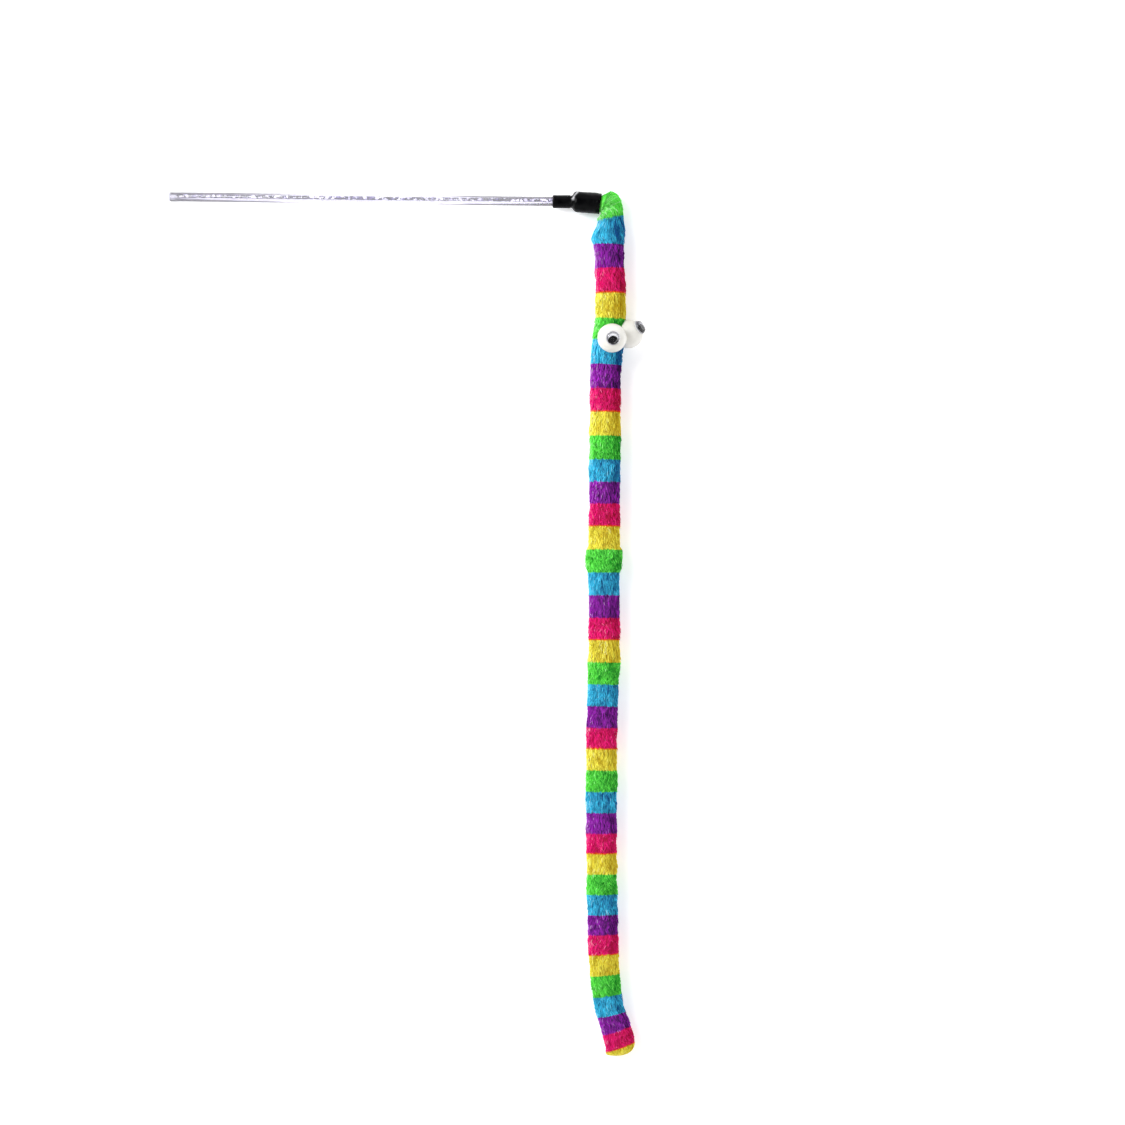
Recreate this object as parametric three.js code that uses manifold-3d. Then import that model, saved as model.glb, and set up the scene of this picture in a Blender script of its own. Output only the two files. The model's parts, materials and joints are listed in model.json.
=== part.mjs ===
// A cat teaser wand: a clear rod with a glitter film inside, a black sleeve on its end, and a long
// striped plush tail that is gathered into the sleeve's mouth. Two white balls with loose-pupil
// eyes sit on the tail. The wand lies flat: +X runs from the grip end towards the tail, the tail
// runs along -Y, and +Z is up from the surface that it lies on.
import * as THREE from "three";
import { mergeVertices } from "three/addons/utils/BufferGeometryUtils.js";
import Module from "manifold-3d";

const wasm = await Module();
wasm.setup();

// Driving dimensions, in millimetres and degrees.
const GAP = 0.3; // between pieces that touch
const REACH = 326.5; // from the grip end's face to the sleeve's mouth
const ROD = { radius: 3.6, bore: 2.6, swing: -0.8, sides: 32 };
const PLUG = { depth: 4, radius: 2.3, head: 0.8 };
const FILM = { radius: 2.25, thickness: 0.2, wrap: 200, clear: 1 };
const SLEEVE = {
  length: 38, narrow: 4.7, narrowLength: 13.5, wide: 7.6, shoulder: 3, wall: 0.9, edge: 0.5, waist: 0.35,
};
const GATHER = { radius: 6.3, length: 14, waist: 4.4, waistAt: 6, waistLength: 4, edge: 1, sides: 24 };
const NECK = { radius: 8.2, drop: 1 };
const TAIL = {
  radius: 11.5, throat: 9, bore: 3.5, length: 630, blind: 0.6, endAngle: 22, endGap: 0.25, sides: 16,
};
const TIP_CURVE = [[0, 0], [0.5, 0.05], [0.85, 0.25], [1, 0.55]]; // of the sewn end, in tail radii
const STRIPE = { first: 18.38, shrink: 0.101, perSegment: 2 };
const SEGMENTS = 19;
const BALL = { radius: 10.9, sides: 24 };
const EYE = { radius: 5.45, backing: 0.5, height: 2.4, wall: 0.3, play: 0.2 };
const PUPIL = { radius: 3.3, depth: 0.6 };
const DOME_CURVE = [[1, 0], [1, 0.45], [0.86, 0.8], [0.5, 0.97], [0, 1]]; // in radii and heights of the cap
const EYE_SEGMENT = 3; // the tail segment that carries both eyes

// The tail's middle line from the neck to the tip, as [across, along], from the sleeve's mouth.
const TAIL_LINE = [
  [5.6, -11.9], [4.2, -31], [4.9, -61], [5.2, -89], [2.3, -114], [1.2, -181], [0.4, -271],
  [0.4, -346], [-1.3, -401], [-1.5, -471], [-0.9, -521], [0.2, -564], [3, -597],
  [8, -617], [15, -640],
];

// Each eye: where its ball sits from the tail's middle line, and the way that its pupil faces.
const EYES = [
  { name: "upper", across: 2.5, along: -102.9, up: 17.8, faces: [0.06, -0.05, 1] },
  { name: "side", across: 15.2, along: -98.9, up: -0.4, faces: [0.78, 0.45, 0.43] },
];

const radians = THREE.MathUtils.degToRad;
const flatSide = Math.cos(Math.PI / TAIL.sides);
const tailHeight = TAIL.radius * flatSide;

const finish = {
  clear: { color: 0xf2f5f7, roughness: 0.08, metalness: 0, transparent: true, opacity: 0.35 },
  foil: { color: 0xc9c4d6, roughness: 0.25, metalness: 0.9 },
  black: { color: 0x0c0c0d, roughness: 0.22, metalness: 0 },
  thread: { color: 0xe9e6dc, roughness: 0.85, metalness: 0 },
  filling: { color: 0xf0efeb, roughness: 0.95, metalness: 0 },
  ball: { color: 0xf3f1ea, roughness: 0.3, metalness: 0 },
  pupil: { color: 0x08080a, roughness: 0.35, metalness: 0 },
};
const plushColours = [0x46d23a, 0x1f93c8, 0x7a1a92, 0xe8125f, 0xe0cb34];

const wand = new THREE.Group();

// The plush of the stripe with this number, counted from the sleeve.
function plushLook(stripe) {
  return { color: plushColours[stripe % plushColours.length], roughness: 0.95, metalness: 0 };
}

// A named mesh with a material of its own, added to the wand or to a group inside it.
function addPiece(name, geometry, look, parent = wand) {
  const piece = new THREE.Mesh(geometry, new THREE.MeshStandardMaterial(look));
  piece.name = name;
  parent.add(piece);
  return piece;
}

// A round piece turned about Y from [radius, height] points that go up its outside.
function turned(points, sides) {
  const profile = points.map(([radius, height]) => new THREE.Vector2(radius, height));
  return new THREE.LatheGeometry(profile, sides, Math.PI / sides);
}

// A ring or tube: the profile goes up its outside, down its bore, and closes.
function turnedRing(outside, bore, sides) {
  return turned([...outside, ...bore, outside[0]], sides);
}

// ---- The rod and what is on it, in a group whose +Y runs along the rod to the sleeve's mouth ----

const rodLine = new THREE.Group();
const gripEnd = -REACH + PLUG.head + GAP;
const rodTip = -GATHER.length - GAP;
// The wand rests on the sleeve's wide part and on the grip plug, so it rises towards the sleeve.
const restsOnFlat = Math.cos(Math.PI / ROD.sides);
const widePart = SLEEVE.length - SLEEVE.narrowLength - SLEEVE.shoulder;
const rise = Math.asin(((SLEEVE.wide - ROD.radius) * restsOnFlat) / (REACH - widePart));
const mouthHeight = SLEEVE.wide * restsOnFlat + widePart * Math.sin(rise);

function placeRodLine() {
  const along = new THREE.Vector3(Math.cos(rise), Math.sin(radians(ROD.swing)), Math.sin(rise));
  const side = new THREE.Vector3(0, 0, 1).cross(along.normalize()).normalize();
  const up = new THREE.Vector3().crossVectors(along, side);
  // The group's X, Y and Z: down the side, along the rod, and up.
  rodLine.setRotationFromMatrix(new THREE.Matrix4().makeBasis(side.negate(), along, up));
  rodLine.position.set(0, 0, mouthHeight);
  wand.add(rodLine);
}

function addRod() {
  const { radius, bore } = ROD;
  const outside = [[radius, gripEnd], [radius, rodTip]];
  const inside = [[bore, rodTip], [bore, gripEnd]];
  addPiece("rod_tube", turnedRing(outside, inside, ROD.sides), finish.clear, rodLine);
}

function addPlugs() {
  const { depth, radius, head } = PLUG;
  const face = -REACH;
  const grip = [
    [0, face], [ROD.radius, face], [ROD.radius, face + head], [radius, face + head],
    [radius, gripEnd + depth], [0, gripEnd + depth],
  ];
  addPiece("grip_plug", turned(grip, ROD.sides), finish.clear, rodLine);
  const tip = [[0, rodTip - depth], [radius, rodTip - depth], [radius, rodTip], [0, rodTip]];
  addPiece("rod_tip_plug", turned(tip, GATHER.sides), finish.clear, rodLine);
}

// The film is a strip curled against the bore, open along one side.
function addFilm() {
  const half = radians(FILM.wrap / 2);
  const section = new THREE.Shape();
  section.absarc(0, 0, FILM.radius, -half, half, false);
  section.absarc(0, 0, FILM.radius - FILM.thickness, half, -half, true);
  section.closePath();
  const start = gripEnd + PLUG.depth + FILM.clear;
  const depth = rodTip - PLUG.depth - FILM.clear - start;
  const strip = new THREE.ExtrudeGeometry(section, { depth, bevelEnabled: false, curveSegments: 9 });
  // The extrusion runs along Z, so it is turned to run along Y, with its open side towards the tail's tip.
  strip.rotateZ(Math.PI).rotateX(-Math.PI / 2).translate(0, start, 0);
  addPiece("glitter_film", strip, finish.foil, rodLine);
}

function addSleeve() {
  const { length, narrow, narrowLength, wide, shoulder, wall, edge, waist } = SLEEVE;
  const step = -length + narrowLength;
  const full = step + shoulder;
  const outside = [
    [narrow - edge, -length], [narrow, -length + edge], [narrow, step - edge], [narrow - waist, step],
    [wide - edge, full - edge], [wide, full], [wide, -edge], [wide - edge, 0],
  ];
  const narrowBore = ROD.radius + GAP;
  const wideBore = wide - wall;
  const bore = [
    [wideBore, 0], [wideBore, full + edge], [narrowBore, step + GAP], [narrowBore, -length],
  ];
  addPiece("end_sleeve", turnedRing(outside, bore, ROD.sides), finish.black, rodLine);
}

// The gathered end of the plush, with a waist where the thread ties it.
function addGatheredEnd() {
  const { radius, length, waist, waistAt, waistLength, edge, sides } = GATHER;
  const profile = [
    [0, -length], [radius, -length + edge], [radius, -waistAt - waistLength], [waist, -waistAt - waistLength],
    [waist, -waistAt], [radius, -waistAt], [radius, -edge], [0, 0],
  ];
  addPiece("gathered_end", turned(profile, sides), plushLook(0), rodLine);
  const low = -waistAt - waistLength + GAP;
  const high = -waistAt - GAP;
  const outside = [[radius - GAP, low], [radius - GAP, high]];
  const bore = [[waist + GAP, high], [waist + GAP, low]];
  addPiece("binding_thread", turnedRing(outside, bore, sides), finish.thread, rodLine);
}

// ---- The plush tail: a chain of short segments whose coned ends leave room to bend ----

// How far along the tail each stripe begins: the stripes grow slightly shorter towards the tip.
function stripeStart(index) {
  const steps = index - 1;
  return steps * STRIPE.first - STRIPE.shrink * (steps * (steps - 1)) / 2;
}

const tailLine = new THREE.CatmullRomCurve3(TAIL_LINE.map(([x, y]) => new THREE.Vector3(x, y, tailHeight)));
tailLine.arcLengthDivisions = 2000;

function tailPoint(distance) {
  const point = tailLine.getPointAt(Math.min(distance / tailLine.getLength(), 1));
  if (distance === 0) point.z = TAIL.throat * flatSide;
  return point;
}

// The points that the tail bends about, and its tip.
const bends = Array.from({ length: SEGMENTS }, (_, i) => tailPoint(stripeStart(1 + STRIPE.perSegment * i)));
bends.push(tailPoint(TAIL.length));

function addNeck() {
  const { radius, drop } = NECK;
  const ball = turned(circleProfile(radius, 10), TAIL.sides);
  ball.translate(radius + GAP, -drop, radius * flatSide);
  addPiece("neck_plush", ball, plushLook(0));
}

// Half a circle of [radius, height] points from the bottom pole to the top pole.
function circleProfile(radius, steps) {
  return Array.from({ length: steps + 1 }, (_, i) => {
    const angle = -Math.PI / 2 + (Math.PI * i) / steps;
    const onAxis = i === 0 || i === steps;
    return [onAxis ? 0 : radius * Math.cos(angle), radius * Math.sin(angle)];
  });
}

// One segment's plush and the filling in its bore. Each hangs along -Y from its first bend.
function addTailSegment(index) {
  const start = bends[index];
  const way = bends[index + 1].clone().sub(start);
  const length = way.length();
  const last = index === SEGMENTS - 1;
  const cone = Math.tan(radians(TAIL.endAngle));
  const { radius, bore, endGap } = TAIL;
  // The first segment widens from the throat, and the others are straight.
  const upper = index === 0 ? TAIL.throat : radius;
  const lower = upper + (radius - upper) * (1 - (radius * cone) / length);
  const top = (r) => -endGap - r * cone;
  const foot = (r) => -length + endGap + r * cone;

  const holder = new THREE.Group();
  holder.position.copy(start);
  holder.quaternion.setFromUnitVectors(new THREE.Vector3(0, -1, 0), way.normalize());
  wand.add(holder);

  const number = String(index + 1).padStart(2, "0");
  const blind = -length + TAIL.blind * radius;
  const roundEnd = TIP_CURVE.map(([out, up]) => [out * radius, -length + up * radius]);
  const plush = last
    ? turned([...roundEnd, [upper, top(upper)], [bore, top(bore)], [bore, blind], [0, blind]], TAIL.sides)
    : turnedRing([[lower, foot(lower)], [upper, top(upper)]], [[bore, top(bore)], [bore, foot(bore)]],
      TAIL.sides);
  const pressed = index === EYE_SEGMENT - 1 ? pressEyeSeats(plush, holder) : plush;
  addPiece(`tail_plush_${number}`, pressed, plushLook(1 + STRIPE.perSegment * index), holder);

  const cord = bore - GAP;
  const cordEnd = last ? blind + GAP : foot(cord);
  const tip = last ? [0, cordEnd] : [0, foot(0)];
  const filling = turned([tip, [cord, cordEnd], [cord, top(cord)], [0, top(0)]], 12);
  addPiece(`tail_filling_${number}`, filling, finish.filling, holder);
}

// ---- The eyes: a white ball with a glued-on cup that holds a loose pupil ----

function ballCentre({ across, along, up }) {
  const line = bends[EYE_SEGMENT - 1].clone().lerp(bends[EYE_SEGMENT], 0.5);
  return new THREE.Vector3(line.x + across, along, tailHeight + up);
}

// A closed geometry as a solid that can be cut.
function solidOf(geometry) {
  const bare = geometry.index ? geometry.toNonIndexed() : geometry.clone();
  bare.deleteAttribute("normal");
  bare.deleteAttribute("uv");
  const merged = mergeVertices(bare, 1e-4);
  const vertProperties = merged.attributes.position.array;
  const triVerts = new Uint32Array(merged.index.array);
  return new wasm.Manifold(new wasm.Mesh({ numProp: 3, vertProperties, triVerts }));
}

function geometryOf(solid) {
  const { vertProperties, triVerts } = solid.getMesh();
  const geometry = new THREE.BufferGeometry();
  geometry.setAttribute("position", new THREE.BufferAttribute(vertProperties, 3));
  geometry.setIndex(new THREE.BufferAttribute(triVerts, 1));
  geometry.computeVertexNormals();
  return geometry;
}

// The plush is pressed in where the balls are glued to it.
function pressEyeSeats(plush, holder) {
  holder.updateMatrix();
  const toHolder = holder.matrix.clone().invert();
  let solid = solidOf(plush);
  for (const eye of EYES) {
    const seat = turned(circleProfile(BALL.radius + GAP, 12), BALL.sides);
    const centre = ballCentre(eye).applyMatrix4(toHolder);
    solid = solid.subtract(solidOf(seat.translate(centre.x, centre.y, centre.z)));
  }
  return geometryOf(solid);
}

function addEye(eye) {
  const holder = new THREE.Group();
  holder.position.copy(ballCentre(eye));
  const faces = new THREE.Vector3(...eye.faces).normalize();
  holder.quaternion.setFromUnitVectors(new THREE.Vector3(0, 1, 0), faces);
  wand.add(holder);

  // The ball is flat under the cup, and the rest of it is round.
  const flat = Math.sqrt(BALL.radius ** 2 - EYE.radius ** 2);
  const round = circleProfile(BALL.radius, 14).filter(([, height]) => height < flat - GAP);
  const ball = [...round, [EYE.radius, flat], [0, flat]];
  addPiece(`eye_ball_${eye.name}`, turned(ball, BALL.sides), finish.ball, holder);

  const base = flat + GAP;
  const floor = base + EYE.backing;
  const card = [[0, base], [EYE.radius, base], [EYE.radius, floor], [0, floor]];
  addPiece(`eye_backing_${eye.name}`, turned(card, BALL.sides), finish.ball, holder);

  const rim = floor + GAP;
  addPiece(`eye_dome_${eye.name}`, domeShell(rim), finish.clear, holder);

  const low = rim + EYE.play;
  const high = low + PUPIL.depth;
  const disc = turned([[0, low], [PUPIL.radius, low], [PUPIL.radius, high], [0, high]], BALL.sides);
  const offset = pupilOffset(holder);
  disc.translate(offset.x, 0, offset.z);
  addPiece(`eye_pupil_${eye.name}`, disc, finish.pupil, holder);
}

// The pupil has slid towards the tail's tip as far as its cup lets it.
function pupilOffset(holder) {
  const reach = EYE.radius - EYE.wall - PUPIL.radius - EYE.play;
  const slide = new THREE.Vector3(0, -1, 0).applyQuaternion(holder.quaternion.clone().invert());
  slide.y = 0;
  return slide.normalize().multiplyScalar(reach);
}

// A clear cap with a steep wall and a low crown, open at its foot.
function domeShell(rim) {
  const crown = (radius, height) => DOME_CURVE.map(([out, up]) => [out * radius, rim + up * height]);
  const outer = crown(EYE.radius, EYE.height);
  const inner = crown(EYE.radius - EYE.wall, EYE.height - EYE.wall).reverse();
  return turned([...outer, ...inner, outer[0]], BALL.sides);
}

placeRodLine();
addRod();
addPlugs();
addFilm();
addSleeve();
addGatheredEnd();
addNeck();
for (let index = 0; index < SEGMENTS; index++) addTailSegment(index);
EYES.forEach(addEye);

// The origin is the middle of the whole wand's footprint, on the surface that it lies on.
wand.updateMatrixWorld(true);
const extent = new THREE.Box3().setFromObject(wand, true);
const middle = extent.getCenter(new THREE.Vector3());
wand.position.set(-middle.x, -middle.y, -extent.min.z);

export default wand;
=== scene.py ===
"""A cat teaser wand lying flat: a clear rod with a glitter film inside, a black shrink sleeve, and a long
striped plush tail with two loose-pupil eyes. Metres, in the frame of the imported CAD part."""
import json
import math

import bmesh
import bpy
import numpy as np
from mathutils import Matrix, Vector, noise


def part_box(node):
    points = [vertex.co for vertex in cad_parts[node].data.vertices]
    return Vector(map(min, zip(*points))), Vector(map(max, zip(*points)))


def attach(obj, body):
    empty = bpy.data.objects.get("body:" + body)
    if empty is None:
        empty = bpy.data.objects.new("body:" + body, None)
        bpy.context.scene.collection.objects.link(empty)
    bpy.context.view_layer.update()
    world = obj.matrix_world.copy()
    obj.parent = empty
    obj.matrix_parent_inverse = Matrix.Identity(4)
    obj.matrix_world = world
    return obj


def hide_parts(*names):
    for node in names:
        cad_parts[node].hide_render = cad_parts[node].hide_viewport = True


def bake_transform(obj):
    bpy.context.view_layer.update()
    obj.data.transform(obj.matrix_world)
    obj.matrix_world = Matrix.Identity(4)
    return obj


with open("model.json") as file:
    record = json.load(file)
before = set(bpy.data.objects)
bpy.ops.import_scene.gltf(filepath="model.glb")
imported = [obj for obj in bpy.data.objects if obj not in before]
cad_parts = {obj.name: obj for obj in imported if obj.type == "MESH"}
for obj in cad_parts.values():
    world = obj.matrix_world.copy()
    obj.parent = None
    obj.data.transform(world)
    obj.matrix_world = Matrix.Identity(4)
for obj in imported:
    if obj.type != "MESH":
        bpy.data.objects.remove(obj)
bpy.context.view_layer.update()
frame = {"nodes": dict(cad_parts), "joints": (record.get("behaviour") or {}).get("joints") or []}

# ---------------------------------------------------------------------------------------------------------
# Camera: straight above a flat lay, with a long lens, so that the rod stays level at the top of the view.
view_centre = Vector((0.11675, 0.04598, 0.011))
view_width = 0.84375
camera_data = bpy.data.cameras.new("camera")
camera_data.lens = 135
camera = bpy.data.objects.new("camera", camera_data)
camera.location = view_centre + Vector((0, 0, view_width * camera_data.lens / camera_data.sensor_width))
bpy.context.scene.collection.objects.link(camera)
bpy.context.scene.camera = camera
bpy.context.scene.view_settings.view_transform = "Standard"


# ---------------------------------------------------------------------------------------------------------
# Floor and light: a seamless white table top under a large soft window at the upper left, with a weaker
# fill from the lower right, so that shadows are pale and fall on both sides of the tail.
def srgb(red, green, blue):
    """A colour given as 0 to 255 display values, as the linear values that shaders take."""
    def linear(value):
        share = value / 255
        return share / 12.92 if share <= 0.04045 else ((share + 0.055) / 1.055) ** 2.4
    return (linear(red), linear(green), linear(blue), 1.0)


def new_material(name, **settings):
    """A node material whose Principled inputs are set by name, and its tree, shader and input table."""
    material = bpy.data.materials.new(name)
    material.use_nodes = True
    shader = material.node_tree.nodes["Principled BSDF"]
    for key, value in settings.items():
        shader.inputs[key.replace("_", " ")].default_value = value
    return material, material.node_tree, shader


def add_node(tree, kind, operation=None, **inputs):
    """A shader node of that kind, with its unlinked inputs set or linked by name."""
    made = tree.nodes.new("ShaderNode" + kind)
    if operation:
        made.operation = operation
    for key, value in inputs.items():
        socket = made.inputs[int(key[2:])] if key.startswith("in") else made.inputs[key.replace("_", " ")]
        if isinstance(value, bpy.types.NodeSocket):
            tree.links.new(value, socket)
        else:
            socket.default_value = value
    return made


def colour_ramp(tree, factor, stops, interpolation="LINEAR"):
    """A colour ramp over (position, colour) stops."""
    made = tree.nodes.new("ShaderNodeValToRGB")
    made.color_ramp.interpolation = interpolation
    elements = made.color_ramp.elements
    while len(elements) < len(stops):
        elements.new(1.0)
    for element, (position, colour) in zip(elements, stops):
        element.position = position
        element.color = colour
    tree.links.new(factor, made.inputs["Fac"])
    return made


def mix_colours(tree, factor, low, high):
    """The mix of two colours, each a value or a socket, by a factor."""
    made = tree.nodes.new("ShaderNodeMix")
    made.data_type = "RGBA"
    tree.links.new(factor, made.inputs["Factor"])
    for place, colour in ((6, low), (7, high)):
        if isinstance(colour, bpy.types.NodeSocket):
            tree.links.new(colour, made.inputs[place])
        else:
            made.inputs[place].default_value = colour
    return made.outputs[2]


def new_group(name, inputs, outputs):
    """A shader node group with sockets of these names and kinds, and its input and output nodes."""
    group = bpy.data.node_groups.new(name, "ShaderNodeTree")
    for way, sockets in (("INPUT", inputs), ("OUTPUT", outputs)):
        for label, kind in sockets.items():
            group.interface.new_socket(label, in_out=way, socket_type="NodeSocket" + kind)
    return group, group.nodes.new("NodeGroupInput"), group.nodes.new("NodeGroupOutput")


def use_group(tree, group, **inputs):
    """A group node in the tree, with its inputs set by name."""
    made = tree.nodes.new("ShaderNodeGroup")
    made.node_tree = group
    for key, value in inputs.items():
        made.inputs[key].default_value = value
    return made


def make_drift():
    """The drift effect, for smooth stuff: soft cloudy noise, as a value and as a colour between two."""
    sockets = {"Low": "Color", "High": "Color", "Scale": "Float"}
    group, given, result = new_group("drift", sockets, {"Color": "Color", "Value": "Float"})
    coordinates = group.nodes.new("ShaderNodeTexCoord")
    cloud = add_node(group, "TexNoise", Vector=coordinates.outputs["Object"], Scale=given.outputs["Scale"],
                     Detail=4.0)
    spread = add_node(group, "MapRange", Value=cloud.outputs["Fac"], From_Min=0.35, From_Max=0.65)
    colour = mix_colours(group, spread.outputs["Result"], given.outputs["Low"], given.outputs["High"])
    group.links.new(colour, result.inputs["Color"])
    group.links.new(spread.outputs["Result"], result.inputs["Value"])
    return group


def link_object(name, mesh, *materials):
    """A new object in the scene with these materials in its slots."""
    made = bpy.data.objects.new(name, mesh)
    bpy.context.scene.collection.objects.link(made)
    for material in materials:
        mesh.materials.append(material)
    return made


drift = make_drift()
floor_material, tree, shader = new_material("white table top", Roughness=0.9)
mottle = use_group(tree, drift, Low=srgb(247, 247, 248), High=srgb(250, 250, 251), Scale=9.0)
tree.links.new(mottle.outputs["Color"], shader.inputs["Base Color"])
shader.inputs["Specular IOR Level"].default_value = 0.1
shader.inputs["Emission Color"].default_value = (1, 1, 1, 1)
shader.inputs["Emission Strength"].default_value = 0.3  # the table top is lit a little from below
bm = bmesh.new()
bmesh.ops.create_grid(bm, x_segments=8, y_segments=8, size=3.0)
floor_mesh = bpy.data.meshes.new("floor")
bm.to_mesh(floor_mesh)
bm.free()
floor = link_object("floor", floor_mesh, floor_material)

# The room is bright round the sides and dim overhead, so that what faces the camera mirrors little of it.
world = bpy.data.worlds.new("studio")
world.use_nodes = True
direction = world.node_tree.nodes.new("ShaderNodeTexCoord")
height = add_node(world.node_tree, "SeparateXYZ", Vector=direction.outputs["Generated"])
room = colour_ramp(world.node_tree, height.outputs["Z"], [(0.62, (1, 1, 1, 1)), (0.9, (0.12, 0.12, 0.13, 1))])
background = world.node_tree.nodes["Background"]
world.node_tree.links.new(room.outputs["Color"], background.inputs["Color"])
background.inputs["Strength"].default_value = 1.12
bpy.context.scene.world = world


def add_softbox(name, place, size, power):
    """A square area light aimed at the middle of the view."""
    light = bpy.data.lights.new(name, "AREA")
    light.size = size
    light.energy = power
    lamp = bpy.data.objects.new(name, light)
    lamp.location = place
    lamp.rotation_euler = (view_centre - Vector(place)).to_track_quat("-Z", "Y").to_euler()
    bpy.context.scene.collection.objects.link(lamp)


add_softbox("window", (-1.5, 1.0, 1.7), 1.2, 44)
add_softbox("fill", (1.6, -0.9, 2.2), 1.8, 16)
add_softbox("glint", (-0.9, 0.9, 2.2), 0.3, 5)


# ---------------------------------------------------------------------------------------------------------
# The plush tail: one tube of short acrylic pile, knitted in five colours that repeat, stuffed softly and
# sewn shut at the tip. It lies on the table, so it is flat underneath. Each piece here is the stretch round
# one bend, from the middle of one rigid length to the middle of the next.
STRIPES = (  # name, shaded colour, lit colour, how curly the pile is
    ("green", srgb(0, 146, 30), srgb(116, 255, 92), 1.0),
    ("blue", srgb(0, 82, 146), srgb(70, 214, 250), 0.35),
    ("purple", srgb(54, 0, 78), srgb(174, 40, 198), 0.3),
    ("pink", srgb(188, 0, 60), srgb(255, 24, 140), 0.8),
    ("yellow", srgb(204, 172, 8), srgb(255, 248, 88), 0.4),
)
ORANGE = (0.786, srgb(226, 50, 10), srgb(255, 104, 30))  # from this share of the five on, up to the yellow
# The neck, where the pile leaves the sleeve and turns down at once. Each ring is its place along the tail
# in stripes, its centre from the middle of the sleeve's mouth in millimetres, the way it faces in degrees,
# and its half width over the pile.
NECK_RINGS = (
    (-0.80, -13.3, 0.0, 0.0, -1, 5.9),
    (-0.62, -10.2, -0.1, 0.0, -1, 4.5),
    (-0.45, -8.0, -0.2, 0.0, -2, 4.5),
    (-0.22, -5.2, -0.6, 0.0, -3, 5.9),
    (0.00, -2.2, -1.4, 0.1, -6, 6.2),
    (0.12, -0.6, -1.0, 0.3, -11, 8.4),
    (0.30, 1.7, -0.6, 0.5, -24, 9.7),
    (0.52, 4.0, -3.6, 0.8, -42, 11.0),
    (0.76, 5.0, -7.2, 1.0, -62, 10.3),
    (0.97, 5.1, -10.7, 1.2, -75, 9.8),
    (1.18, 4.8, -14.6, 1.5, -84, 9.6),
    (1.42, 4.4, -19.6, 2.0, -90, 10.9),
    (1.70, 3.7, -24.9, 2.6, -91, 11.9),
    (1.90, 3.3, -28.9, 3.0, -91, 12.3),
    (2.00, 3.7, -30.9, 3.3, -91, 11.8),
)
# How full the tail is further down: along the tail in stripes, and its half width over the pile.
FULLNESS = (
    (2.08, 11.0), (2.9, 10.7), (3.5, 10.9), (4.4, 11.3), (5.3, 11.5), (6.4, 11.8), (7.5, 11.5), (9.5, 11.2),
    (10.5, 11.6), (12.4, 11.2), (13.5, 11.5), (14.9, 11.7), (15.1, 13.3), (15.86, 13.5), (16.06, 11.7),
    (17.5, 11.3), (20.0, 11.7), (21.5, 11.3), (26.2, 11.5), (29.0, 11.2), (33.0, 11.1), (36.0, 10.7),
    (37.0, 10.6), (38.2, 11.1), (39.0, 11.3),
)
# The tip, as the neck's rings, but each centre is from the last bend. The seam across the end faces down.
TIP_RINGS = ((38.0, 4.2, -12.0, 0.0, -71.5), (39.0, 6.8, -24.8, -0.2, -71.0), (39.5, 5.7, -31.0, -0.6, -86.0))
# How late each change of colour comes, in stripes: place along the tail, and lateness.
LATE = ((0.0, 0.0), (3.0, 0.03), (5.0, 0.13), (6.0, 0.0), (7.0, 0.05), (9.0, 0.07), (11.0, 0.1), (13.0, 0.0),
        (20.0, 0.07), (27.0, 0.04), (33.0, -0.07), (36.0, -0.03), (39.0, -0.03))
PILE = 1.3  # how far the pile stands above the knitted back, in millimetres
STRIPE_LENGTH = 16.6  # of an average stripe, in millimetres
TIP = 39.5  # where the sewn end is, in stripes
TIP_CURVE = 0.62  # how far before it the end begins to round off, in stripes
RESTING_HEIGHT = 0.9  # in millimetres, under which the pile flattens against the table
SEAT_RADIUS = 11.0  # of the hollow that each eye ball presses into the pile, in millimetres
FAN_ANGLE = 2.1  # of the line that the pile fans out from, in radians from the tail's left-hand side
AROUND, PER_STRIPE = 120, 22  # the mesh of the back: points round it and rings for each stripe
TUFTS_PER_STRIPE, LOCKS_PER_STRIPE = 1050, 120
NECK_CUT = 0.70  # where the neck's piece ends and the first tail piece begins, in stripes

joint_places = {j["name"]: 1000 * Vector(j["pos_m"]) for j in frame["joints"]}
bends = [place for name, place in joint_places.items() if name.startswith("tail_")]
sleeve_low, sleeve_high = (1000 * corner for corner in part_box("end_sleeve"))
mouth = Vector((sleeve_high.x, (sleeve_low.y + sleeve_high.y) / 2, (sleeve_low.z + sleeve_high.z) / 2))
CARD_DEPTH = 9.99  # of the card behind each pupil, from the middle of its ball, in millimetres


def faces_way(eye):
    """The direction that an eye looks in."""
    roll = next(j for j in frame["joints"] if j["name"] == f"pupil_roll_{eye}")
    return Vector(roll["axis"]).normalized()


def middle_of(node):
    """The middle of a CAD node's box, in millimetres."""
    return sum(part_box(node), Vector()) * 500


def ball_middle(eye):
    """The middle of an eye's ball, in millimetres."""
    return middle_of(f"eye_backing_{eye}") - CARD_DEPTH * faces_way(eye)


eye_balls = [ball_middle(eye) for eye in ("upper", "side")]


def spine_table():
    """Rows of place in stripes, centre x, y, z and facing in radians, from inside the sleeve to the tip."""
    def placed(rings, origin):
        return [(s, *(origin + Vector((x, y, z))), math.radians(turn)) for s, x, y, z, turn, *_ in rings]

    rows, tip = placed(NECK_RINGS, mouth), placed(TIP_RINGS, bends[-1])
    line = [Vector(rows[-1][1:4]), *bends[1:], Vector(tip[0][1:4])]
    for k in range(1, len(line) - 1):
        before, after = line[k - 1], line[k + 1]
        rows.append((2 * k + 1, *line[k], math.atan2(after.y - before.y, after.x - before.x)))
    return np.array(rows + tip)


SPINE = spine_table()
WIDTHS = np.array([(row[0], row[5]) for row in NECK_RINGS] + list(FULLNESS))


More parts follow.
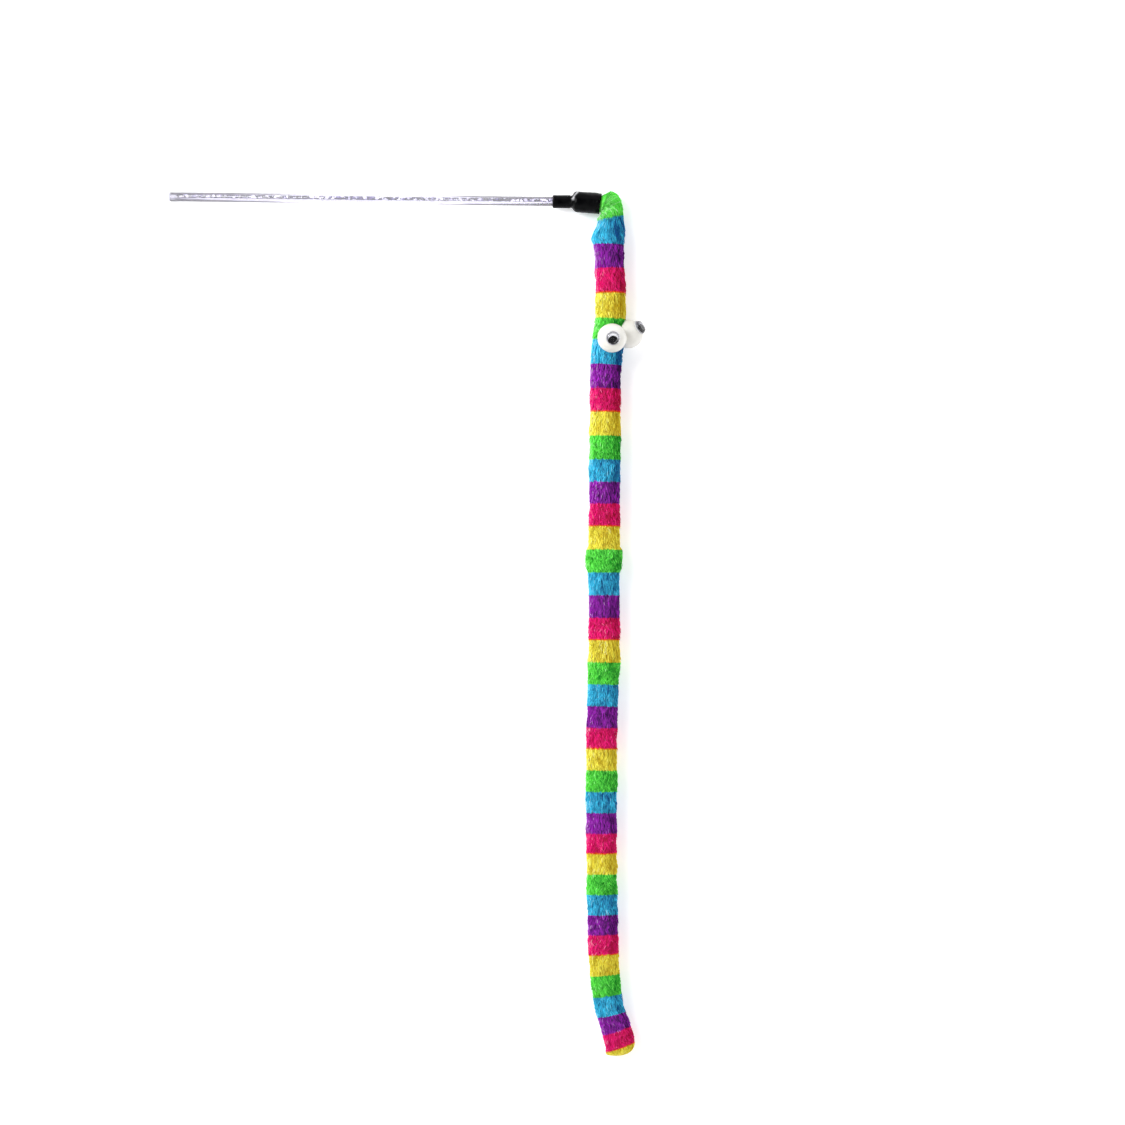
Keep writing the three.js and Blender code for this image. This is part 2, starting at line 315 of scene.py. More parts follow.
def smooth_through(knots, columns, at):
    """Smooth curves through the columns, given at the knots, read at every value of at."""
    slopes = np.gradient(columns, knots, axis=0)
    k = np.clip(np.searchsorted(knots, at, side="right") - 1, 0, len(knots) - 2)
    span = (knots[k + 1] - knots[k])[:, None]
    u = np.clip((at - knots[k])[:, None] / span, 0, 1)
    return (
        columns[k] * (2 * u**3 - 3 * u**2 + 1) + slopes[k] * span * (u**3 - 2 * u**2 + u)
        + columns[k + 1] * (3 * u**2 - 2 * u**3) + slopes[k + 1] * span * (u**3 - u**2)
    )


def pile_height(stripe):
    """The height of the pile in millimetres: pressed flat inside the sleeve, and full from its mouth on."""
    share = np.clip(stripe / 0.12, 0, 1)
    return PILE * share * share * (3 - 2 * share)


def pile_point(angle, stripe, lift):
    """Points on the tail: angle round it from its left-hand side over the top, place along it in stripes,
    and height above the knitted back. All three are arrays of one length, and the points are rows."""
    row = smooth_through(SPINE[:, 0], SPINE[:, 1:], stripe)
    facing = row[:, 3]
    past = np.clip((stripe - TIP + TIP_CURVE) / TIP_CURVE, 0, 1)
    closing = np.sqrt(1 - past**3.2)
    back = np.interp(stripe, WIDTHS[:, 0], WIDTHS[:, 1]) - pile_height(stripe)
    reach = back * closing + lift * closing**0.5
    side = np.stack([-np.sin(facing), np.cos(facing), np.zeros_like(facing)], axis=1)
    points = row[:, :3] + side * (np.cos(angle) * reach)[:, None]
    points[:, 2] += np.sin(angle) * reach * 0.97
    for ball in eye_balls:
        away = points - np.array(ball)
        distance = np.linalg.norm(away, axis=1)
        inside = distance < SEAT_RADIUS
        points[inside] = np.array(ball) + away[inside] / distance[inside, None] * SEAT_RADIUS
    low = points[:, 2] < RESTING_HEIGHT
    deep = RESTING_HEIGHT - points[low, 2]
    points[low, 2] = RESTING_HEIGHT - 0.7 * (1 - np.exp(-deep / 0.7))
    return points


def curliness(stripe):
    """How curly the pile is at these places."""
    return np.array([STRIPES[int(s) % 5][3] for s in np.maximum(stripe, 0)])


def lateness(stripe):
    """How late the colours change at these places, in stripes."""
    return np.interp(stripe, *zip(*LATE))


def fanned(stripe):
    """How far the pile has spread since it left the sleeve: 1 once it lies straight."""
    return np.exp(-1.15 * np.exp(-np.maximum(stripe, 0) / 0.75))


def combed(angle, stripe, start):
    """Where the pile that grows at this angle, at start, has got to by stripe: it fans out below the neck."""
    off = (angle - FAN_ANGLE + math.pi) % (2 * math.pi) - math.pi
    return FAN_ANGLE + off * fanned(stripe) / fanned(start)


def lumps(angle, stripe):
    """The stuffing's soft unevenness, in millimetres."""
    return np.array([
        0.7 * noise.noise((1.1 * math.cos(a), 1.1 * math.sin(a), s / 13))
        + 0.4 * noise.noise((2.6 * math.cos(a) + 7, 2.6 * math.sin(a), s / 6))
        for a, s in zip(angle, stripe * STRIPE_LENGTH)
    ])


def partings(angle, stripe):
    """How the pile parts, from about -1 in a groove to 1 on a lock. Curly stripes part in short clumps."""
    found = []
    for a, s, curl in zip(combed(angle, 9.0, stripe), stripe * STRIPE_LENGTH, curliness(stripe)):
        x, y = 11 * math.cos(a), 11 * math.sin(a)
        sway = 0.9 * noise.noise((x / 5, y / 5, s / 5 + 40))
        lock = noise.noise(((x + sway) / 2.1, (y + sway) / 2.1, s / (7.5 - 4.5 * curl)))
        strand = noise.noise(((x + sway) / 0.85, (y + sway) / 0.85, s / (6.0 - 3.0 * curl) + 9))
        found.append(1.1 * lock + 0.9 * strand)
    return np.array(found)


def painted_pile_light(angle, stripe):
    """How much painted light the pile gets here: painted shade on the tail's left-hand side and painted light
    on its right, as the light falls across it, and painted light where the neck stands open to it."""
    side_light = np.interp(stripe, (0, 8, 14), (0.5, 0.5, 0.27))
    return -side_light * np.cos(angle) + np.interp(stripe, (0.4, 0.9, 1.0), (0.48, 0.3, 0.0))


def knit_back(first, last):
    """The parted surface between two places along the tail: points, faces, and where and how lit each is."""
    count = max(8, round((last - first) * PER_STRIPE))
    angle = np.tile(np.linspace(0, 2 * math.pi, AROUND, endpoint=False), count + 1)
    stripe = np.repeat(np.linspace(first, last, count + 1), AROUND)
    relief = partings(angle, stripe)
    points = pile_point(angle, stripe, (lumps(angle, stripe) + 0.6 * relief) * pile_height(stripe) / PILE)
    faces = [tuple(range(AROUND)), tuple(reversed(range(count * AROUND, (count + 1) * AROUND)))]
    for ring in range(0, count * AROUND, AROUND):
        for k in range(AROUND):
            here, beside = ring + k, ring + (k + 1) % AROUND
            faces.append((here, here + AROUND, beside + AROUND, beside))
    dyed = np.maximum(stripe - lateness(stripe) + 0.05 * partings(angle, stripe + 3.7), 0.01)
    # The tone paints shade into the partings and light onto the locks, and adds the painted light of the
    # pile.
    return points, faces, dyed, 0.38 + 0.4 * relief + painted_pile_light(angle, stripe), angle, stripe


def grow(angle, stripe, swing, length, bow, rise, width, shade, hang):
    """One tapered strand from each root: as knit_back. swing and length are how far it goes round and along,
    bow its sideways bend, and hang how much of its dye follows what it lies over."""
    total = len(angle)
    bump, tall = lumps(angle, stripe), pile_height(stripe)
    points, tones, places = [], [], []
    for share, lift, taper in ((0.0, -0.4, 0.7), (0.4, 0.75, 1.0), (0.78, 1.0, 0.62), (1.0, 0.8, 0.0)):
        here = np.minimum(stripe + length * share, TIP - 0.01)
        turn = combed(angle, here, stripe) + swing * share + bow * math.sin(math.pi * share)
        height = (bump + rise * lift) * tall
        half = width / 2 / 11.5 * taper
        corners = ((-half, 0.0), (0.0, 0.45 * taper), (half, 0.0)) if taper else ((0.0, 0.0),)
        for side, ridge in corners:
            points.append(pile_point(turn + side, here, height + ridge * width * tall))
            # The tone paints shade towards each strand's root and a highlight along its ridge, on top of the
            # painted light given as shade.
            tones.append(np.clip(0.22 + 0.5 * share + shade + ridge * 0.3, 0, 1.8))
            places.append(np.maximum(stripe + hang * (here - stripe) - lateness(stripe), 0.01))
    faces = []
    for root in range(0, 10 * total, 10):
        for ring in (root, root + 3):
            for k in range(3):
                faces.append((ring + k, ring + (k + 1) % 3, ring + 3 + (k + 1) % 3, ring + 3 + k))
        faces += [(root + 6 + k, root + 6 + (k + 1) % 3, root + 9) for k in range(3)]
    points = np.stack(points, axis=1).reshape(-1, 3)
    tones, places = (np.stack(column, axis=1).ravel() for column in (tones, places))
    return points, faces, places, tones, np.repeat(angle, 10), np.repeat(stripe, 10)


def draw_tufts(first, last, rng):
    """The pile between two places: strands that lie down the tail and gather into pointed locks."""
    total, locks = (int((last - first) * n) for n in (TUFTS_PER_STRIPE, LOCKS_PER_STRIPE))
    lock_angle, lock_stripe = rng.uniform(0, 2 * math.pi, locks), rng.uniform(first, last, locks)
    lock_shade = rng.normal(0, 0.22, locks)
    angle, stripe = rng.uniform(0, 2 * math.pi, total), rng.uniform(max(first, -0.05), last, total)
    curl = curliness(stripe)
    apart = (angle[:, None] - lock_angle + math.pi) % (2 * math.pi) - math.pi
    ahead = (lock_stripe - stripe[:, None]) * STRIPE_LENGTH
    lock = np.argmin((apart * 11) ** 2 + (ahead / 2.4) ** 2, axis=1)
    gather = -apart[np.arange(total), lock] * rng.uniform(0.3, 0.75, total)
    length = rng.uniform(3.6, 6.6, total) * (1 - 0.25 * curl + 0.5 * (stripe < 0.7)) / STRIPE_LENGTH
    shade = lock_shade[lock] + rng.normal(0, 0.16, total) + 0.4 * (rng.uniform(0, 1, total) < 0.12)
    # Painted light: the pile's painted side light and brighter neck are added to each strand's shade.
    shade = shade * np.where(stripe < 0.9, 0.5, 1.0) + painted_pile_light(angle, stripe)
    swing = gather + rng.normal(0, 0.04 + 0.1 * curl)
    bow = rng.normal(0, 1, total) * (0.03 + 0.08 * curl)
    rise = rng.uniform(0.4, 1.1, total) * (1 + 0.25 * curl)
    width = rng.uniform(0.38, 0.78, total)
    return grow(angle, stripe, swing, length, bow, rise, width, shade, 0.8)


def fan_out(rng):
    """Long strands, painted pale as a highlight, that spray from the inner corner of the neck, over the green
    and into the blue.
    """
    total = 190
    angle, stripe = FAN_ANGLE + rng.normal(0.25, 0.28, total), rng.uniform(0.1, 0.55, total)
    swing = rng.uniform(-1.7, 0.1, total)
    reach = rng.uniform(8, 13, total)
    length = np.sqrt(np.maximum(reach**2 - (9 * swing) ** 2, 6)) / STRIPE_LENGTH
    bow, rise, width = rng.normal(0, 0.05, total), rng.uniform(1.2, 2.1, total), rng.uniform(0.5, 0.9, total)
    # Painted highlight: most strands get extra tone, which lightens them towards white.
    return grow(angle, stripe, swing, length, bow, rise, width, rng.choice([0.0, 0.6, 1.1], total), 0.2)


def plush_mesh(name, first, last, seed):
    """The back and the pile of one stretch as one mesh, with the attributes that the dye and its painted
    shade and light follow.
    """
    rng = np.random.default_rng(seed)
    layers = [knit_back(first, last), draw_tufts(first, last, rng)]
    if first < 0:
        layers.append(fan_out(rng))
    faces, base = [], 0
    for layer in layers:
        faces += [tuple(v + base for v in face) for face in layer[1]]
        base += len(layer[0])
    joined = {k: np.concatenate([layer[k] for layer in layers]) for k in (0, 2, 3, 4, 5)}
    points, stripe, tone, angle, rooted = joined.values()
    mesh = bpy.data.meshes.new(name)
    mesh.from_pydata((points * 0.001).tolist(), [], faces)
    mesh.polygons.foreach_set("use_smooth", [True] * len(mesh.polygons))
    # The tone attribute carries the painted shade and light of the pile.
    for label, values in (("stripe", stripe), ("tone", tone)):
        mesh.attributes.new(label, "FLOAT", "POINT").data.foreach_set("value", values.astype(np.float32))
    place = np.stack([11 * np.cos(angle), 11 * np.sin(angle), rooted * STRIPE_LENGTH], axis=1)
    held = mesh.attributes.new("place", "FLOAT_VECTOR", "POINT")
    held.data.foreach_set("vector", place.astype(np.float32).ravel())
    return mesh


def read_attribute(tree, name, output="Fac"):
    """The output of an attribute of the mesh."""
    made = tree.nodes.new("ShaderNodeAttribute")
    made.attribute_name = name
    return made.outputs[output]


def dyed_and_lit_pile():
    """Acrylic pile: the stripe sets the dye, and each strand is mixed from a painted shaded root to a painted
    lit tip, and towards white as a painted highlight where the painted light is strongest. Where pink meets
    yellow, the two mix to a thin orange line."""
    material, tree, shader = new_material("striped plush", Roughness=0.75, Specular_IOR_Level=0.15)
    shader.inputs["Sheen Weight"].default_value = 0.06
    turn = add_node(tree, "Math", "DIVIDE", in0=read_attribute(tree, "stripe"), in1=5.0)
    which = add_node(tree, "Math", "FRACT", in0=turn.outputs[0])
    shaded, lit = [(k / 5, STRIPES[k][1]) for k in range(5)], [(k / 5, STRIPES[k][2]) for k in range(5)]
    shaded.insert(4, (ORANGE[0], ORANGE[1]))
    lit.insert(4, (ORANGE[0], ORANGE[2]))
    place = read_attribute(tree, "place", "Vector")
    fine = add_node(tree, "TexNoise", Vector=place, Scale=0.9, Detail=2.0)
    spread = add_node(tree, "Math", "MULTIPLY_ADD", in0=fine.outputs["Fac"], in1=0.5, in2=-0.25)
    light = add_node(tree, "Math", "ADD", in0=read_attribute(tree, "tone"), in1=spread.outputs[0])
    deep, bright = (colour_ramp(tree, which.outputs[0], stops, "CONSTANT") for stops in (shaded, lit))
    # Painted shade and light: the tone mixes each dye from its shaded copy to its lit copy.
    dye = mix_colours(tree, light.outputs[0], deep.outputs["Color"], bright.outputs["Color"])
    # Painted highlight: where the painted light runs past 1.1, the colour is mixed towards white.
    painted_white_highlight = add_node(tree, "MapRange", Value=light.outputs[0], From_Min=1.1, From_Max=1.8, To_Max=0.5)
    highlighted_dye = mix_colours(tree, painted_white_highlight.outputs["Result"], dye, srgb(255, 255, 250))
    tree.links.new(highlighted_dye, shader.inputs["Base Color"])
    return material


plush_material = dyed_and_lit_pile()


def add_plush(name, first, last, replaced, seed):
    """One stretch of the tail, from first to last in stripes, in place of the CAD nodes that it replaces."""
    made = link_object(name, plush_mesh(name, first, last, seed), plush_material)
    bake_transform(made)
    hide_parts(*replaced)


add_plush("plush_neck", -0.80, NECK_CUT,
          ["gathered_end", "neck_plush"], 11)
add_plush("plush_tail_01", NECK_CUT, 2.0,
          ["tail_plush_01"], 12)
for number in range(2, 20):
    last = TIP if number == 19 else 2 * number
    add_plush(f"plush_tail_{number:02d}", 2 * number - 2, last,
              [f"tail_plush_{number:02d}"], 11 + number)


# ---------------------------------------------------------------------------------------------------------
# The sleeve: black vinyl, shrunk tight on the rod and loosely over the gathered plush. It is pleated where it
# steps up, lightly creased towards the mouth, and droops a little past the rod's end.
SLEEVE_PROFILE = (  # along from the narrow end, radius outside, in millimetres
    (0.0, 4.5), (0.25, 4.85), (1.0, 4.98), (6.0, 4.92), (12.6, 5.0), (13.3, 4.7), (13.9, 4.45), (14.7, 4.9),
    (15.6, 6.3), (16.6, 7.4), (18.0, 7.85), (22.0, 7.95), (28.0, 7.85), (33.0, 7.95), (35.4, 8.0),
    (35.9, 7.7),
)
SLEEVE_WALL = 1.1
SLEEVE_DROOP = 1.3  # of the mouth's middle below the rod's line, in the plane of the table
SLEEVE_SLANT = 0.125  # of the mouth's edge
SLEEVE_SIDES = 72


def closed_loft(name, rings, loop=False):
    """A mesh through rings of points. A loop joins its last ring to its first. Otherwise both ends close."""
    sides = len(rings[0])
    count = len(rings) if loop else len(rings) - 1
    faces = []
    for ring in range(count):
        here, there = ring * sides, (ring + 1) % len(rings) * sides
        for k in range(sides):
            faces.append((here + k, here + (k + 1) % sides, there + (k + 1) % sides, there + k))
    if not loop:
        faces.append(tuple(reversed(range(sides))))
        faces.append(tuple(range((len(rings) - 1) * sides, len(rings) * sides)))
    mesh = bpy.data.meshes.new(name)
    mesh.from_pydata([0.001 * Vector(p) for ring in rings for p in ring], [], faces)
    mesh.polygons.foreach_set("use_smooth", [True] * len(mesh.polygons))
    return mesh


grip_low, grip_high = (1000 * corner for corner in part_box("grip_plug"))
grip_end = Vector((grip_low.x, (grip_low.y + grip_high.y) / 2, (grip_low.z + grip_high.z) / 2))
rod_way = (mouth - grip_end).normalized()
rod_side = Vector((0, 0, 1)).cross(rod_way).normalized()
rod_up = rod_way.cross(rod_side)
narrow_end = mouth - rod_way * (sleeve_high.x - sleeve_low.x)


def round_the_rod(origin, along, radius, angle):
    """A point at a distance along the rod's line, off it by a radius, at an angle from the side up."""
    out = rod_side * math.cos(angle) + rod_up * math.sin(angle)
    return origin + rod_way * along + out * radius


def sleeve_ring(along, radius):
    """One ring of the sleeve, with its creases, droop and slanted mouth."""
    stepped = math.exp(-((along - 15.6) / 1.8) ** 2)
    loose = min(max((along - 18) / 18, 0), 1)
    ring = []
    for k in range(SLEEVE_SIDES):
        angle = 2 * math.pi * k / SLEEVE_SIDES
        around = Vector((math.cos(angle), math.sin(angle), 0))
        pleat = 0.16 * stepped * math.sin(11 * angle + 2 * noise.noise(around * 2))
        crease = 0.5 * loose * noise.noise((along / 2.2, 0.8 * around.x, 0.8 * around.y))
        dent = 0.3 * noise.noise(around * 1.4 + Vector((0, 0, along / 7)))
        point = round_the_rod(narrow_end, along, radius + pleat + (crease + dent) * (0.3 + loose), angle)
        point -= rod_side * SLEEVE_DROOP * loose
        point += rod_way * SLEEVE_SLANT * loose**2 * around.x * radius
        point.z = max(point.z, 0.05)
        ring.append(point)
    return ring


def shoulder_highlight(along, k):
    """How strong the painted highlight is, slantwise over one side of the shoulder, where the vinyl catches
    the light.
    """
    angle = 2 * math.pi * k / SLEEVE_SIDES
    across = math.cos(angle) if angle < math.pi / 2 else 0
    over = math.exp(-((along - 15.3 - 4.6 * max(0, 2 * across - 1)) / 0.85) ** 2) * min(1, 2.2 * across)
    glints = noise.noise((1.4 * angle, along / 2.2, 3))
    return max(0, min(1, 1.5 * over * (0.5 + glints)))


profile = np.array(SLEEVE_PROFILE)
along_outside = np.concatenate([profile[:3, 0], np.linspace(1.6, 34.8, 84), profile[-2:, 0]])
outside = [(a, float(np.interp(a, profile[:, 0], profile[:, 1]))) for a in along_outside]
inside = [(min(max(a, 0.2), 35.7), r - SLEEVE_WALL) for a, r in reversed(outside[1:-1])]
sleeve_mesh = closed_loft("sleeve", [sleeve_ring(a, r) for a, r in outside + inside], loop=True)
# A painted highlight on the shoulder, kept as a point attribute.
highlight_attribute = sleeve_mesh.attributes.new("stretched", "FLOAT", "POINT")
glints = [shoulder_highlight(a, k) for a, _ in outside + inside for k in range(SLEEVE_SIDES)]
highlight_attribute.data.foreach_set("value", glints)
sleeve_material, tree, shader = new_material("black shrink vinyl", Specular_IOR_Level=0.06)
smudge = use_group(tree, drift, Low=srgb(3, 3, 4), High=srgb(11, 11, 12), Scale=180.0)
# Painted highlight: the black is mixed to light grey where the shoulder catches the light.
tint = mix_colours(tree, read_attribute(tree, "stretched"), smudge.outputs["Color"], srgb(208, 208, 212))
tree.links.new(tint, shader.inputs["Base Color"])
gloss = add_node(tree, "MapRange", Value=smudge.outputs["Value"], To_Min=0.12, To_Max=0.24)
tree.links.new(gloss.outputs["Result"], shader.inputs["Roughness"])
sleeve = link_object("shrink_sleeve", sleeve_mesh, sleeve_material)
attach(sleeve, "wand")
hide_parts("end_sleeve")


# ---------------------------------------------------------------------------------------------------------
# The rod: a clear extruded acrylic tube with softened ends, over a curled strip of holographic glitter film.
ROD_RADIUS, ROD_BORE, ROD_SIDES = 3.6, 2.6, 64
FILM_RADIUS, FILM_THICKNESS, FILM_WRAP = 2.2, 0.1, 200  # in millimetres, and degrees round the rod
FILM_CREASE, FILM_STEPS, FILM_SIDES = 0.12, 421, 18


def rod_ring(along, radius):
    """One ring of the rod, from the grip end."""
    angles = [2 * math.pi * k / ROD_SIDES for k in range(ROD_SIDES)]
    return [round_the_rod(grip_end, along, radius, angle) for angle in angles]


def span_along_rod(node):
    """Where a CAD node starts and stops along the rod's line, from the grip end."""
    return tuple((1000 * corner.x - grip_low.x) / rod_way.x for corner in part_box(node))


rod_start, rod_stop = span_along_rod("rod_tube")
rod_outside = [(rod_start, 3.4), (rod_start + 0.2, ROD_RADIUS), (rod_stop - 0.2, ROD_RADIUS), (rod_stop, 3.4)]
rod_inside = [(rod_stop, 2.75), (rod_stop - 0.15, ROD_BORE), (rod_start + 0.15, ROD_BORE), (rod_start, 2.75)]
rod_mesh = closed_loft("rod", [rod_ring(a, r) for a, r in rod_outside + rod_inside], loop=True)


def clear_plastic(name, low, high, roughness, clearness):
    """Clear plastic with slight smears, milky if it is less than 1 clear, and with painted grey shade where
    its mesh marks a wall as shaded.
    """
    material, tree, shader = new_material(name, Transmission_Weight=clearness, IOR=1.47,
                                          Specular_IOR_Level=0.2)
    smear = use_group(tree, drift, Low=low, High=high, Scale=90.0)
    # Painted shade: the cup's wall and flange edge are mixed to grey.
    tint = mix_colours(tree, read_attribute(tree, "rim_shade"), smear.outputs["Color"], srgb(120, 120, 126))
    tree.links.new(tint, shader.inputs["Base Color"])
    gloss = add_node(tree, "MapRange", Value=smear.outputs["Value"], To_Min=roughness,
                     To_Max=roughness + 0.06)
    tree.links.new(gloss.outputs["Result"], shader.inputs["Roughness"])
    return material


clear_material = clear_plastic("clear acrylic", srgb(240, 238, 248), srgb(249, 248, 255), 0.04, 0.9)
rod = link_object("clear_rod", rod_mesh, clear_material)
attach(rod, "wand")
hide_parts("rod_tube")
rod.visible_shadow = False  # clear plastic hardly shades what is in and under it


def film_loop(along):
    """One loop round the film's edge: its outer face, and back along its inner face."""
    faces = []
    for thickness in (0.0, -FILM_THICKNESS):
        face = []
        for k in range(FILM_SIDES + 1):
            angle = math.radians(FILM_WRAP) * (k / FILM_SIDES - 0.5)
            crease = FILM_CREASE * noise.noise((along / 1.7, 3 * angle, 0))
            face.append(round_the_rod(grip_end, along, FILM_RADIUS + thickness + crease, angle))
        faces.append(face)
    return faces[0] + faces[1][::-1]


film_start, film_stop = span_along_rod("glitter_film")
film_steps = np.linspace(film_start, film_stop, FILM_STEPS)
film_mesh = closed_loft("film", [film_loop(along) for along in film_steps])
film_mesh.polygons.foreach_set("use_smooth", [False] * len(film_mesh.polygons))
film_material, tree, shader = new_material("holographic flake film", Roughness=0.55, Specular_IOR_Level=0.2)
coordinates = tree.nodes.new("ShaderNodeTexCoord")
flakes = add_node(tree, "TexVoronoi", Vector=coordinates.outputs["Object"], Scale=560.0, Randomness=0.9)
flakes.distance = "MANHATTAN"
pick = add_node(tree, "SeparateColor", Color=flakes.outputs["Color"])
flake_tints = [(0.0, srgb(2, 1, 8)), (0.5, srgb(22, 16, 42)), (0.64, srgb(92, 84, 124)),
               (0.74, srgb(190, 186, 208)), (0.88, srgb(226, 224, 238))]
tint = colour_ramp(tree, pick.outputs[0], flake_tints, "CONSTANT")
tree.links.new(tint.outputs["Color"], shader.inputs["Base Color"])
film = link_object("flake_film", film_mesh, film_material)
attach(film, "wand")
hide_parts("glitter_film")


def assign(node, material):
    """Puts a material in every slot of a CAD node."""
    for slot in frame["nodes"][node].material_slots:
        slot.material = material


for name in ("grip_plug", "rod_tip_plug"):
    assign(name, clear_material)


# ---------------------------------------------------------------------------------------------------------
# Inside: the waxed thread wound round the gathered end, and the cotton cord down the tail.
def make_twist():
    """The twist effect: plies as slanting bands, as a colour and as a bumped normal."""
    sockets = {"Low": "Color", "High": "Color", "Scale": "Float"}
    group, given, result = new_group("twisted strands", sockets, {"Color": "Color", "Normal": "Vector"})
    coordinates = group.nodes.new("ShaderNodeTexCoord")
    plies = add_node(group, "TexWave", Vector=coordinates.outputs["Object"], Scale=given.outputs["Scale"],
                     Distortion=1.5, Detail=2.0)
    plies.bands_direction = "DIAGONAL"
    colour = mix_colours(group, plies.outputs["Fac"], given.outputs["Low"], given.outputs["High"])
    bump = add_node(group, "Bump", Height=plies.outputs["Fac"], Strength=0.5, Distance=0.0004)
    group.links.new(colour, result.inputs["Color"])
    group.links.new(bump.outputs["Normal"], result.inputs["Normal"])
    return group


def twisted_cotton(name, low, high, scale):
    """Cotton or linen whose plies show."""
    material, tree, shader = new_material(name, Roughness=0.9)
    plies = use_group(tree, twist, Low=low, High=high, Scale=scale)
    tree.links.new(plies.outputs["Color"], shader.inputs["Base Color"])
    tree.links.new(plies.outputs["Normal"], shader.inputs["Normal"])
    return material


twist = make_twist()
assign("binding_thread", twisted_cotton("waxed thread", srgb(196, 190, 172), srgb(236, 232, 216), 900))
cotton = twisted_cotton("cotton cord", srgb(204, 200, 188), srgb(242, 240, 232), 160)
for number in range(1, 20):
    assign(f"tail_filling_{number:02d}", cotton)


# ---------------------------------------------------------------------------------------------------------
# The eyes: two hollow white balls, moulded in halves, each with a flat where a clear craft-eye cup is glued
# over a white card. A black pupil lies loose in each cup.
BALL_RADIUS, CUP_RADIUS, CUP_HEIGHT, CUP_WALL = 10.9, 5.45, 2.4, 0.3
CUP_BASE = 10.54  # the face of the card, from the middle of the ball
PUPIL_RADIUS, PUPIL_DEPTH, PUPIL_BEVEL = 3.3, 0.6, 0.12


def speckled(name, low, high, scale, **settings):
    """A smooth material whose colour drifts between two near tones."""
    material, tree, shader = new_material(name, **settings)
    tint = use_group(tree, drift, Low=low, High=high, Scale=scale)
    tree.links.new(tint.outputs["Color"], shader.inputs["Base Color"])
    return material


ball_material = speckled("white ball", srgb(214, 212, 204), srgb(225, 223, 217), 90, Roughness=0.34)
card_material = speckled("white card", srgb(226, 226, 228), srgb(242, 242, 243), 1400, Roughness=0.75)
pupil_material = speckled("black pupil", srgb(2, 2, 3), srgb(10, 10, 11), 500, Roughness=0.5,
                          Specular_IOR_Level=0.1)
cup_material = clear_plastic("clear cup", srgb(240, 241, 246), srgb(250, 250, 252), 0.03, 1.0)


def mesh_from(bm, name, turned):
    """The bmesh as a smooth mesh, turned and moved into place."""
    bmesh.ops.recalc_face_normals(bm, faces=bm.faces)
    bmesh.ops.transform(bm, matrix=turned, verts=bm.verts)
    mesh = bpy.data.meshes.new(name)
    bm.to_mesh(mesh)
    bm.free()
    mesh.polygons.foreach_set("use_smooth", [True] * len(mesh.polygons))
    return mesh


def spun(profile, steps, name, turned):
    """A profile of (radius, height) points, spun about Z."""
    bm = bmesh.new()
    verts = [bm.verts.new((r * 0.001, 0, z * 0.001)) for r, z in profile]
    edges = [bm.edges.new(pair) for pair in zip(verts, verts[1:])]
    bmesh.ops.spin(bm, geom=verts + edges, cent=(0, 0, 0), axis=(0, 0, 1), angle=2 * math.pi, steps=steps,
                   use_merge=True)
    bmesh.ops.remove_doubles(bm, verts=bm.verts, dist=1e-7)
    return mesh_from(bm, name, turned)


def ball_mesh(name, turned):
    """A ball with a flat for its cup, a moulding line round its middle, and slightly uneven walls."""
    flat = math.sqrt(BALL_RADIUS**2 - CUP_RADIUS**2)
    bm = bmesh.new()
    bmesh.ops.create_uvsphere(bm, u_segments=96, v_segments=64, radius=BALL_RADIUS * 0.001)
    for vert in bm.verts:
        point = vert.co * 1000
        uneven = 0.16 * noise.noise(point / 6) + 0.04 * noise.noise(point / 1.8)
        line = 0.09 * math.exp(-(point.x / 0.25) ** 2)
        point = point.normalized() * (BALL_RADIUS + uneven - 0.08 + line)
        point.z = min(point.z, flat)
        vert.co = point * 0.001
    return mesh_from(bm, name, turned)


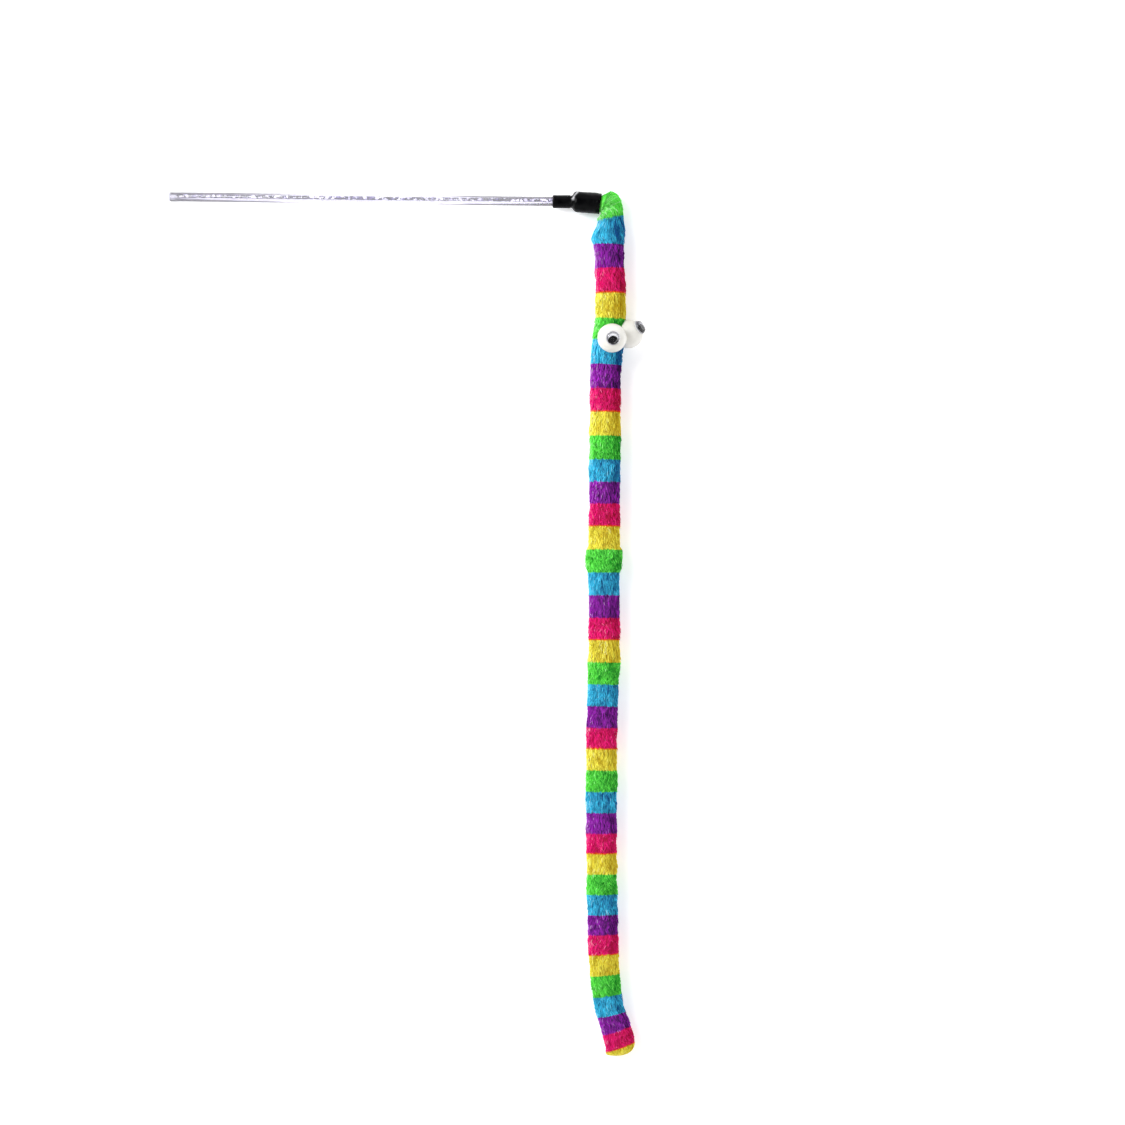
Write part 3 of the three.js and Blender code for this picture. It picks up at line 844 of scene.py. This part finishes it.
def cup_profile(base):
    """Up the cup's outside from its thin flange, over the crown, and down the inside."""
    r, h, w = CUP_RADIUS, CUP_HEIGHT, CUP_WALL
    outside = [(r, base), (r, base + 0.25), (r - 0.35, base + 0.34), (r - 0.45, base + 0.5),
               (r - 0.62, base + 0.55 * h), (r - 0.85, base + 0.76 * h), (r - 1.3, base + 0.88 * h),
               (0.5 * r, base + 0.96 * h), (0, base + h)]
    inside = [(0, base + h - w), (0.5 * r, base + 0.96 * h - w), (r - 1.45, base + 0.88 * h - w),
              (r - 1.1, base + 0.7 * h - w / 2), (r - 0.9, base + 0.4 * h), (r - 0.8, base)]
    return outside + inside


def pupil_profile():
    """Round a pupil's edge, from its back to its slightly dished front."""
    r, half, edge = PUPIL_RADIUS, PUPIL_DEPTH / 2, PUPIL_BEVEL
    return [(0, -half), (r - edge, -half), (r, -half + edge), (r, half - edge), (r - edge, half),
            (1.2, half - 0.06), (0, half - 0.1)]


# Painted shade: how grey a cup is painted, by distance from its axis in millimetres, darkest on its wall and
# flange edge.
RIM_SHADE = ((0.0, 2.7, 3.7, 4.2, 4.75, 4.9, 5.2, 5.44), (0.0, 0.0, 0.35, 0.8, 0.7, 0.05, 0.1, 0.75))


def mark_rim_shade(mesh, turned):
    """Marks a cup's wall and the edge of its flange for painted grey shade, by their distance from its axis.
    """
    back = turned.inverted()
    off = [(back @ vert.co).xy.length * 1000 for vert in mesh.vertices]
    rim_shade = mesh.attributes.new("rim_shade", "FLOAT", "POINT")
    rim_shade.data.foreach_set("value", np.interp(off, *RIM_SHADE).astype(np.float32))


for eye in ("upper", "side"):
    facing = faces_way(eye).to_track_quat("Z", "Y").to_matrix().to_4x4()
    turned = Matrix.Translation(0.001 * ball_middle(eye)) @ facing
    ball = link_object(f"ball_{eye}", ball_mesh(f"ball_{eye}", turned), ball_material)
    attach(ball, "tail_03")
    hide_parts(f"eye_ball_{eye}")
    assign(f"eye_backing_{eye}", card_material)
    cup = link_object(f"cup_{eye}", spun(cup_profile(CUP_BASE), 64, f"cup_{eye}", turned), cup_material)
    mark_rim_shade(cup.data, turned)
    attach(cup, "tail_03")
    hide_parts(f"eye_dome_{eye}")
    cup.visible_shadow = False
    disc_turned = Matrix.Translation(0.001 * middle_of(f"eye_pupil_{eye}")) @ facing
    disc = link_object(f"pupil_{eye}", spun(pupil_profile(), 56, f"pupil_{eye}", disc_turned), pupil_material)
    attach(disc, f"pupil_{eye}")
    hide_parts(f"eye_pupil_{eye}")
